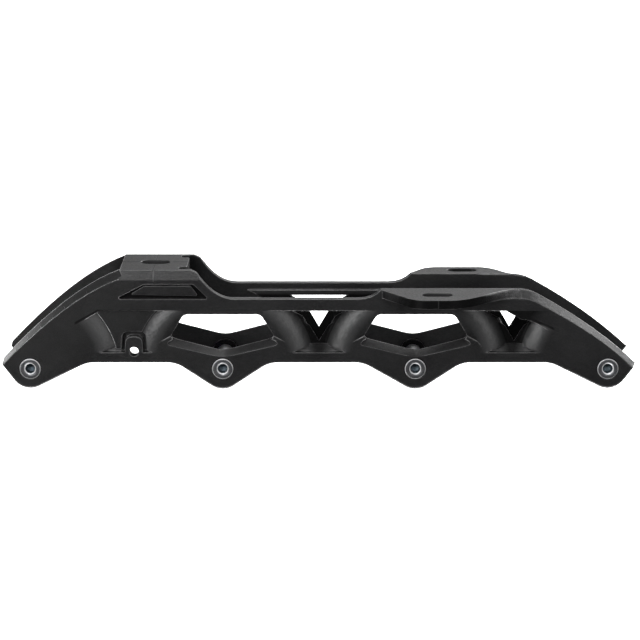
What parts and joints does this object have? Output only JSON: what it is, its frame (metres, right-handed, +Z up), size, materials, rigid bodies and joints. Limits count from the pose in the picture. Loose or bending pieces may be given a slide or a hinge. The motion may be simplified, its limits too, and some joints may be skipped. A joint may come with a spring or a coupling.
{
  "type": "inline skate frame",
  "caption": "Cast inline skate frame with a heel platform, toe mounting tabs, round struts and screw-in wheel axles, for a boot with a three-point mount.",
  "frame": {"origin": "centre of the heel slot, at the height of the heel seat", "axes": "+X to the toe, +Z up, +Y to the inner side of the foot; Y = 0 is the middle plane of the wheels"},
  "size_m": [0.3018, 0.0692, 0.0577],
  "materials": {
    "casting": "fine matt powder coat",
    "axle": "zinc plated"
  },
  "bodies": {
    "frame": {"frame_casting": "casting"},
    "axle_1": {"axle_1": "axle"},
    "axle_2": {"axle_2": "axle"},
    "axle_3": {"axle_3": "axle"},
    "axle_4": {"axle_4": "axle"}
  },
  "joints": [
    {"name": "axle_1_slide", "type": "slide", "parent": "frame", "child": "axle_1", "axis": [0, -1, 0], "range_m": [0, 0.045]},
    {"name": "axle_2_slide", "type": "slide", "parent": "frame", "child": "axle_2", "axis": [0, -1, 0], "range_m": [0, 0.045]},
    {"name": "axle_3_slide", "type": "slide", "parent": "frame", "child": "axle_3", "axis": [0, -1, 0], "range_m": [0, 0.045]},
    {"name": "axle_4_slide", "type": "slide", "parent": "frame", "child": "axle_4", "axis": [0, -1, 0], "range_m": [0, 0.045]}
  ]
}
